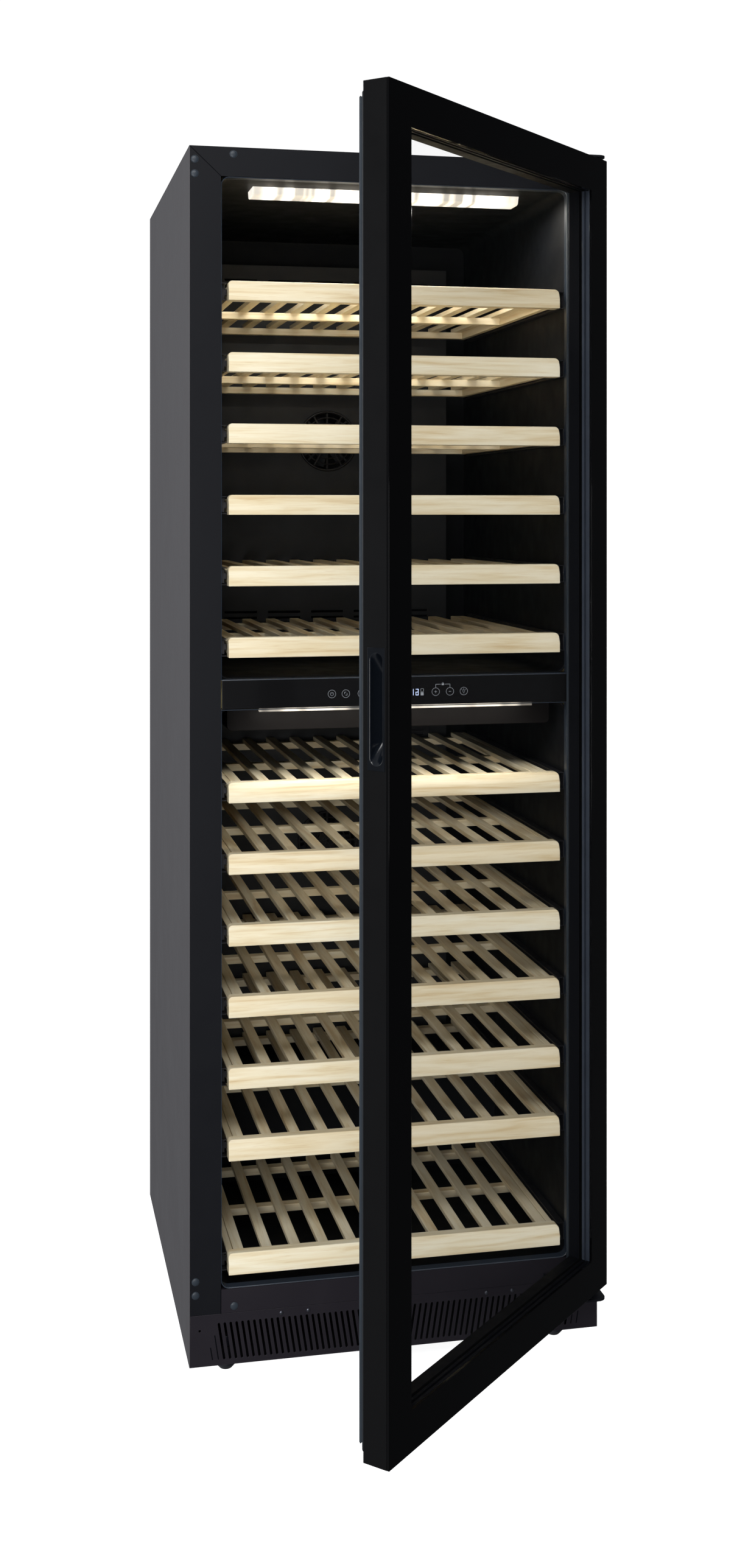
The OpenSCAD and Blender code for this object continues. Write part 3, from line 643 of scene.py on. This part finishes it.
def liner_lips():
    """The raised edge of each liner where it meets the front frame, rounded at the corners, in a
    lighter skin: painted sheen.
    """
    half = -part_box("left_stile")[1].x - 0.2 * MM
    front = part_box("top_rail")[0].y
    # round where the liner has its own corners, and nearly square beside the control strip
    corner, sharp = 12 * MM, 1.5 * MM
    gap, wall = 0.3 * MM, 1.2 * MM
    zones = (("upper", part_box("upper_liner")[0].z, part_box("top_rail")[0].z, corner, sharp),
             ("lower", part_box("bottom_rail")[1].z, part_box("lower_liner")[1].z, sharp, corner))
    for name, z0, z1, above, below in zones:
        shape = bmesh.new()
        path = rounded_path(-half, half, z0 + gap, z1 - gap, above, below)
        profile = [(0, front + 1 * MM), (-wall, front + 1.6 * MM), (-wall, front + 15 * MM),
                   (0, front + 15.5 * MM)]
        ribbon(shape, path, profile)
        piece(name + "_liner_lip", shape, "lip", "cabinet",
              smooth=40)


def liners():
    """The inside of both zones."""
    refine_all(
        ("upper_liner", "liner", 0.8), ("lower_liner", "liner", 0.8),
        ("slide_channels", "runner", 0.4), ("charcoal_filters", "black", 0.5))
    for zone in ("upper", "lower"):
        refine_all((zone + "_air_duct", "duct", 1.2), (zone + "_fan", "fan", 0.3))
        fan_guard(zone)


def fan_guard(zone):
    """Rings and spokes over the fan's opening in the duct."""
    low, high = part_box(zone + "_fan")
    centre = ((low.x + high.x) / 2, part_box(zone + "_air_duct")[0].y - 1.0 * MM,
              (low.z + high.z) / 2)
    outer = (high.x - low.x) / 2 + 7 * MM
    rings, spoke = 5, 1.2 * MM
    shape = bmesh.new()
    for k in range(1, rings + 1):
        radius = outer * k / rings
        wire = 1.1 * MM if k < rings else 2.2 * MM
        ring = [(radius + wire * math.cos(a), wire * math.sin(a))
                for a in [math.tau * i / 8 for i in range(8)]]
        lathe(shape, ring + ring[:1], centre, (0, -1, 0), 48)
    for k in range(3):
        turn = Matrix.Translation(centre) @ Matrix.Rotation(math.pi * k / 3, 4, "Y")
        for v in block(shape, (-outer, -spoke, -spoke), (outer, spoke, spoke)):
            v.co = turn @ v.co
    bmesh.ops.remove_doubles(shape, verts=shape.verts, dist=1e-6)
    piece(zone + "_fan_guard", shape, "black", "cabinet", smooth=50)


def machine_compartment():
    """What the back and the base hold, mostly out of sight."""
    refine_all(
        ("compressor", "compressor", 1.0), ("compressor_mounts", "rubber", 0.8),
        ("condenser_fan_frame", "black", 0.6), ("condenser_fan", "black", 0.3),
        ("drain_pan", "black", 1.0), ("control_board", "circuit", 0.3))
    for node, skin in (("condenser", "copper"), ("evaporators", "copper"),
                       ("insulation", "foam"), ("divider_core", "foam")):
        dressed(node, skin)


def feet():
    """The four levelling feet."""
    for node in FEET:
        refined(node, "foot", 1.0, smooth=45)


# ---------------------------------------------------------------- controls and lamps


def bar(bm, a, b, width, y, height):
    """A straight printed line from a to b, both (x, z)."""
    a, b = Vector(a), Vector(b)
    along = (b - a).normalized() * width / 2
    across = Vector((-along.y, along.x))
    corners = [a - along - across, b + along - across, b + along + across, a - along + across]
    low = [bm.verts.new((p.x, y, p.y)) for p in corners]
    high = [bm.verts.new((p.x, y - height, p.y)) for p in corners]
    bm.faces.new(low)
    bm.faces.new(high[::-1])
    for i in range(4):
        j = (i + 1) % 4
        bm.faces.new((low[i], high[i], high[j], low[j]))


def arc(bm, centre, radius, start, end, width, y, height, steps=28):
    """A printed arc between two angles in degrees, or a whole ring."""
    points = []
    for i in range(steps + 1):
        a = math.radians(start + (end - start) * i / steps)
        points.append((centre[0] + radius * math.cos(a), centre[1] + radius * math.sin(a)))
    for p, q in zip(points, points[1:]):
        bar(bm, p, q, width, y, height)


def control_strip():
    """The gloss strip with its printed touch symbols, given a faint painted glow, and its lit
    digits.
    """
    refined("control_panel", ["gloss", "housing"], 0.5,
            choose=lambda low, high: int(low.y > HOUSING_FRONT))
    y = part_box("control_panel")[0].y
    row = 951 * MM
    line, thick = 0.45 * MM, 0.12 * MM
    ring = 5.5 * MM
    prints = bmesh.new()

    def draw(centre_mm, *strokes):
        """A ring on the symbols' row, with strokes in millimetres from its middle."""
        centre = (centre_mm * MM, row)
        arc(prints, centre, ring, 0, 360, line, y, thick)
        for (ax, az), (bx, bz) in strokes:
            bar(prints, (centre[0] + ax * MM, row + az * MM), (centre[0] + bx * MM, row + bz * MM),
                line, y, thick)

    # power
    draw(-96, ((0, 0.5), (0, 2.4)))
    arc(prints, (-96 * MM, row), 2.3 * MM, 120, 420, line, y, thick)
    # the swap of the zones
    draw(-76, ((-1.8, -0.4), (-1.8, 2.2)), ((-1.8, 2.2), (0.2, 2.2)), ((1.8, 0.4), (1.8, -2.2)),
         ((1.8, -2.2), (-0.2, -2.2)))
    # a thermometer
    draw(-53, ((0, -1.4), (0, 2.6)))
    arc(prints, (-53 * MM, row - 1.8 * MM), 0.8 * MM, 0, 360, 0.9 * MM, y, thick)
    # plus and minus
    draw(55, ((-1.6, 0), (1.6, 0)), ((0, -1.6), (0, 1.6)))
    draw(76, ((-1.6, 0), (1.6, 0)))
    # a light bulb
    draw(96.5, ((-0.8, -2.4), (0.8, -2.4)), ((-2.6, 2.2), (-3.3, 2.9)), ((2.6, 2.2), (3.3, 2.9)),
         ((0, 2.9), (0, 3.7)))
    arc(prints, (96.5 * MM, row + 0.4 * MM), 1.6 * MM, -60, 240, line, y, thick)
    # the key lock joins plus and minus
    lock_x, lock_z = 65.5, 961.5 * MM
    for side in (-1, 1):
        x = (lock_x + side * 10.5) * MM
        bar(prints, (x, row + ring), (x, lock_z), line, y, thick)
        bar(prints, (x, lock_z), ((lock_x + side * 3.4) * MM, lock_z), line, y, thick)
    arc(prints, (lock_x * MM, lock_z + 1.3 * MM), 1.1 * MM, 0, 180, line, y, thick)
    for k in range(4):
        z = lock_z - 0.9 * MM + k * 0.55 * MM
        bar(prints, (64.1 * MM, z), (66.9 * MM, z), 0.6 * MM, y, thick)
    # the two zones: an empty box over a filled one
    for z0, z1 in ((0.6, 4.6), (-4.6, -0.6)):
        corners = [(33, z0), (37, z0), (37, z1), (33, z1)]
        for p, q in zip(corners, corners[1:] + corners[:1]):
            bar(prints, (p[0] * MM, row + p[1] * MM), (q[0] * MM, row + q[1] * MM), line, y, thick)
    for k in range(7):
        z = row - (4.2 - k * 0.55) * MM
        bar(prints, (33.2 * MM, z), (36.8 * MM, z), 0.6 * MM, y, thick)
    piece("touch_symbols", prints, "symbol", "cabinet")

    digit = bmesh.new()
    for offset in (-3.6, 3.6):
        x = (24 + offset) * MM
        left, right, foot, top = x - 1.7 * MM, x + 1.7 * MM, row - 4.2 * MM, row + 4.2 * MM
        lit = [((left, row), (right, row)), ((right, row), (right, foot)),
               ((right, top), (right, row)), ((left, top), (right, top))]
        if offset > 0:
            lit += [((left, foot), (right, foot)), ((left, foot), (left, row))]
        else:
            lit = lit[1:3]
        for p, q in lit:
            bar(digit, p, q, 0.6 * MM, y, thick)
    piece("display_digits", digit, "digit", "cabinet")


def lamps():
    """Both lamps' lit diffusers."""
    refine_all(("upper_lamp", "lamp", 0.4), ("lower_lamp", "lamp_strip", 0.2))


# ---------------------------------------------------------------- shelves


def shelf_skin(low, high):
    """0 for wood with its grain across, 1 for slats with it front to back, 2 for steel."""
    size = high - low
    if size.x > ACROSS:
        return 0
    return 2 if max(abs(low.x), abs(high.x)) > RUNNER_X else 1


def shelves():
    """Each shelf in its two directions of grain, with steel runners."""
    for node in SHELVES:
        refined(node, ["wood_x", "wood_y", "runner"], 0.9, choose=shelf_skin)


# ---------------------------------------------------------------- door


def door_box():
    """The closed door's edges: left, right, bottom and top, then its back and front faces."""
    glass = merged("outer_glass")
    back = DOOR.inverted()
    points = [back @ v.co for v in glass.verts]
    glass.free()
    frame_bm = merged("door_frame")
    inner = max((back @ v.co).y for v in frame_bm.verts)
    frame_bm.free()
    return (min(p.x for p in points), max(p.x for p in points), min(p.z for p in points),
            max(p.z for p in points), inner, min(p.y for p in points))


def on_door(name, shape, skin, hides=(), bevel=0.0, smooth=35):
    """A piece drawn on the closed door and turned with it to its place at rest."""
    return piece(name, shape, skin, "door", hides, bevel, smooth, moved=DOOR)


def ring_prism(bm, x0, x1, z0, z1, y0, y1, width):
    """A flat rectangular ring of that width."""
    loop_round(bm, [(0, y0), (0, y1), (width, y1), (width, y0)], x0, x1, z0, z1)


def door():
    """The door's frame, panes, spacer, gasket and grip."""
    x0, x1, z0, z1, inner, outer = door_box()
    glass_t, border = 4 * MM, 50 * MM

    # the frame's sides towards the window have a darker skin of their own: painted shade
    bm = merged("door_frame")
    middle = sum((v.co for v in bm.verts), Vector()) / len(bm.verts)
    back = DOOR.inverted().to_3x3()
    for face in bm.faces:
        normal = back @ face.normal
        centre = DOOR.inverted() @ face.calc_center_median()
        inset = min(centre.x - x0, x1 - centre.x, centre.z - z0, z1 - centre.z)
        inward = normal.dot(back @ (middle - face.calc_center_median())) > 0
        face.material_index = int(border * 0.8 < inset < border * 1.05 and inward
                                  and abs(normal.y) < 0.5)
    piece("door_frame_finished", bm, ["door_edge", "window_edge"], "door",
          ("door_frame",), 0.8)

    rim = bmesh.new()
    ring_prism(rim, x0, x1, z0, z1, outer, outer + glass_t, border)
    on_door("outer_glass_border", rim, "border", ("outer_glass",), 0.5)
    window = bmesh.new()
    block(window, (x0 + border, outer, z0 + border), (x1 - border, outer + glass_t, z1 - border))
    on_door("outer_glass_window", window, "pane")
    refined("inner_glass", "pane", 0.4)

    # a hollow bar between the panes, with a groove along it; its level runs are darker, with
    # painted shade
    spacer = bmesh.new()
    y0, y1 = outer + glass_t, outer + 16 * MM
    middle = (y0 + y1) / 2
    bar_back, chamfer, groove = 42 * MM, 49.4 * MM, 47 * MM
    profile = [(bar_back, y0), (chamfer, y0), (border, y0 + 0.8 * MM),
               (border, middle - 1.8 * MM), (groove, middle - 1.2 * MM),
               (groove, middle + 1.2 * MM), (border, middle + 1.8 * MM),
               (border, y1 - 0.8 * MM), (chamfer, y1), (bar_back, y1)]
    loop_round(spacer, profile, x0, x1, z0, z1)
    for face in spacer.faces:
        centre = face.calc_center_median()
        face.material_index = int(x0 + border * 1.2 < centre.x < x1 - border * 1.2)
    on_door("glazing_spacer_finished", spacer, ["spacer", "window_edge"],
            ("glazing_spacer",))
    gasket(x0, x1, z0, z1, inner)
    handle(x0)
    dressed("hinge_bushes", "nylon")


def gasket(x0, x1, z0, z1, inner):
    """A flat trim clipped to the door, and the magnetic bellows on it."""
    trim = bmesh.new()
    width, step = 30 * MM, 5 * MM
    # how far the trim and the bellows stay inside the door's hinge side, and above and below
    trim_hinge, trim_end, bellows_hinge, bellows_end = 12 * MM, 11 * MM, 18 * MM, 14 * MM
    profile = [(0, inner), (0, inner + 3.4 * MM), (1.2 * MM, inner + step),
               (5.2 * MM, inner + step), (6.0 * MM, inner + step - 1.4 * MM),
               (6.8 * MM, inner + step), (width - 1.2 * MM, inner + step),
               (width, inner + 3.4 * MM), (width, inner)]
    loop_round(trim, profile, x0 + 4 * MM, x1 - trim_hinge, z0 + trim_end, z1 - trim_end)
    on_door("gasket_trim", trim, "trim", ("door_gasket",), smooth=40)
    bellows = bmesh.new()
    base, tip = inner + step + 0.05 * MM, inner + 13.7 * MM
    fold = (tip - base) / 4
    # one side's folds, in millimetres from the edge and in folds from the base
    left = [(1.6, 0), (0.4, 1), (2.0, 2), (0.2, 3), (1.4, 4)]
    profile = [(w * MM, base + k * fold) for w, k in left]
    profile += [((14 - w) * MM, base + k * fold) for w, k in reversed(left)]
    loop_round(bellows, profile, x0 + 11 * MM, x1 - bellows_hinge, z0 + bellows_end,
               z1 - bellows_end)
    on_door("gasket_bellows", bellows, "gasket", smooth=25)


def handle(edge):
    """The grip's plate in the door's free edge, with a round-ended pocket scooped out of it."""
    y_mid, half, z_low, z_high, depth = -348 * MM, 8.5 * MM, 912 * MM, 1044 * MM, 22 * MM
    plate_y, plate_z = (-360 * MM, -336 * MM), (906 * MM, 1050 * MM)
    steps = 20

    def pocket(scale, pull=0.0):
        """The pocket's outline as (y, z), narrowed by scale and with its ends pulled in."""
        points = []
        radius = half * scale
        for end, start in ((z_high - half - pull, 0), (z_low + half + pull, math.pi)):
            for i in range(steps + 1):
                a = start + math.pi * i / steps
                points.append((y_mid + radius * math.cos(a), end + radius * math.sin(a)))
        return points

    shape = bmesh.new()
    rings = []
    # how wide the pocket is at each depth in millimetres: a lip, then a rounded bowl
    levels = [(1.06, -0.4), (1.0, 0.2), (0.97, 1.5)]
    levels += [(0.97 * math.cos(a), 1.5 + (depth / MM - 1.5) * math.sin(a))
               for a in [math.radians(9 * k) for k in range(1, 10)]]
    for scale, deep in levels:
        rings.append([shape.verts.new((edge + deep * MM, y, z))
                      for y, z in pocket(scale, max(0.0, deep) * MM)])
    for a, b in zip(rings, rings[1:]):
        for i in range(len(a)):
            j = (i + 1) % len(a)
            shape.faces.new((a[i], b[i], b[j], a[j]))
    shape.faces.new(rings[-1])
    scoop = on_door("handle_scoop", shape, "scoop", smooth=60)
    wall = scoop.modifiers.new("wall", "SOLIDIFY")
    wall.thickness = 1.0 * MM
    wall.offset = 1

    outline = [(plate_y[0], plate_z[0]), (plate_y[1], plate_z[0]), (plate_y[1], plate_z[1]),
               (plate_y[0], plate_z[1])]
    face = plate(outline, [pocket(1.04)], 1.6 * MM, 0.4 * MM)
    # from X and Z with its depth along Y, to Y and Z with its depth along X
    face.transform(Matrix(((0, 1, 0, edge - 0.5 * MM), (1, 0, 0, 0), (0, 0, 1, 0), (0, 0, 0, 1))))
    face.flip_normals()
    on_door("handle_plate", face, "grip", ("handle_insert",), smooth=40)


# ---------------------------------------------------------------- stage


def area_light(name, place, aim, size, power, colour=(1, 1, 1)):
    """A rectangle of light turned towards aim, with its power in watts."""
    data = bpy.data.lights.new(name, "AREA")
    data.shape = "RECTANGLE"
    data.size, data.size_y = size
    data.energy = power
    data.color = colour
    light = bpy.data.objects.new(name, data)
    light.location = place
    light.rotation_euler = (Vector(aim) - Vector(place)).to_track_quat("-Z", "Y").to_euler()
    bpy.context.scene.collection.objects.link(light)
    return light


def floor():
    """A pale floor, as bright as the surround, so that no edge shows between them."""
    disc = bmesh.new()
    bmesh.ops.create_circle(disc, cap_ends=True, radius=9.0, segments=96)
    mesh = bpy.data.meshes.new("floor")
    disc.to_mesh(mesh)
    disc.free()
    material, tree, shader = new_material("floor")
    stops = [(0.3, tone(150, 150, 152)), (0.7, tone(156, 156, 158))]
    tree.links.new(ramp(tree, noise(tree, 2), stops), shader.inputs["Base Color"])
    shader.inputs["Roughness"].default_value = 0.9
    shader.inputs["Specular IOR Level"].default_value = 0.0
    shader.inputs["Emission Color"].default_value = (1, 1, 1, 1)
    shader.inputs["Emission Strength"].default_value = 1.05
    mesh.materials.append(material)
    obj = bpy.data.objects.new("floor", mesh)
    bpy.context.scene.collection.objects.link(obj)
    obj.visible_glossy = False
    obj.visible_diffuse = False


def surround():
    """White to the camera, and to the cooler a soft light that is stronger from the left."""
    world = bpy.data.worlds.new("surround")
    world.use_nodes = True
    bpy.context.scene.world = world
    tree = world.node_tree
    tree.nodes.clear()
    seen = tree.nodes.new("ShaderNodeBackground")
    seen.inputs["Color"].default_value = (1, 1, 1, 1)
    seen.inputs["Strength"].default_value = 1.06
    lit = tree.nodes.new("ShaderNodeBackground")
    lit.inputs["Color"].default_value = (0.92, 0.95, 1.0, 1)
    direction = tree.nodes.new("ShaderNodeTexCoord")
    axes = tree.nodes.new("ShaderNodeSeparateXYZ")
    fade = tree.nodes.new("ShaderNodeMapRange")
    fade.inputs["From Min"].default_value = -0.8
    fade.inputs["From Max"].default_value = 0.5
    fade.inputs["To Min"].default_value = 0.40
    fade.inputs["To Max"].default_value = 0.06
    tree.links.new(direction.outputs["Generated"], axes.inputs[0])
    tree.links.new(axes.outputs["X"], fade.inputs["Value"])
    tree.links.new(fade.outputs["Result"], lit.inputs["Strength"])
    ray = tree.nodes.new("ShaderNodeLightPath")
    mix = tree.nodes.new("ShaderNodeMixShader")
    out = tree.nodes.new("ShaderNodeOutputWorld")
    tree.links.new(ray.outputs["Is Camera Ray"], mix.inputs[0])
    tree.links.new(lit.outputs[0], mix.inputs[1])
    tree.links.new(seen.outputs[0], mix.inputs[2])
    tree.links.new(mix.outputs[0], out.inputs[0])


def lights():
    """Soft lights round the cooler, and its own lamps' light."""
    area_light("side", (-4.2, 1.6, 1.8), (-0.3, 0, 0.9), (2.6, 2.6), 68)
    area_light("front", (-1.0, -3.6, 3.6), (0, -0.3, 1.1), (3.0, 1.6), 115)
    area_light("fill", (-1.6, -3.9, 0.7), (0, -0.3, 0.4), (2.6, 1.2), 75)
    area_light("top", (0.6, 1.2, 4.2), (0, 0, 1.2), (3.0, 2.4), 60)
    # lights the right side and the back, without a mirror image in the door's black border
    rear = area_light("rear", (3.4, 2.6, 2.0), (0.2, 0.2, 0.9), (2.2, 2.2), 130)
    rear.visible_glossy = False
    zone_lights()


def zone_lights():
    """Light under each lamp, a little below its diffuser."""
    warm = (1.0, 0.95, 0.86)
    low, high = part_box("upper_lamp")
    y, z = (low.y + high.y) / 2, low.z - 6 * MM
    area_light("upper_zone", (0, y, z), (0, y - 0.06, z - 0.5), (high.x - low.x, 0.03), 2.2, warm)
    low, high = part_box("lower_lamp")
    y, z = low.y - 1 * MM, low.z - 3 * MM
    area_light("lower_zone", (0, y, z), (0, y + 0.2, z - 0.5), (high.x - low.x, 0.012), 0.4, warm)


# ---------------------------------------------------------------- build

place_camera()
floor()
surround()
lights()
cabinet_skin()
hole_plugs()
plinth()
liners()
liner_lips()
machine_compartment()
feet()
control_strip()
lamps()
shelves()
door()
bpy.context.scene.view_settings.view_transform = "Standard"
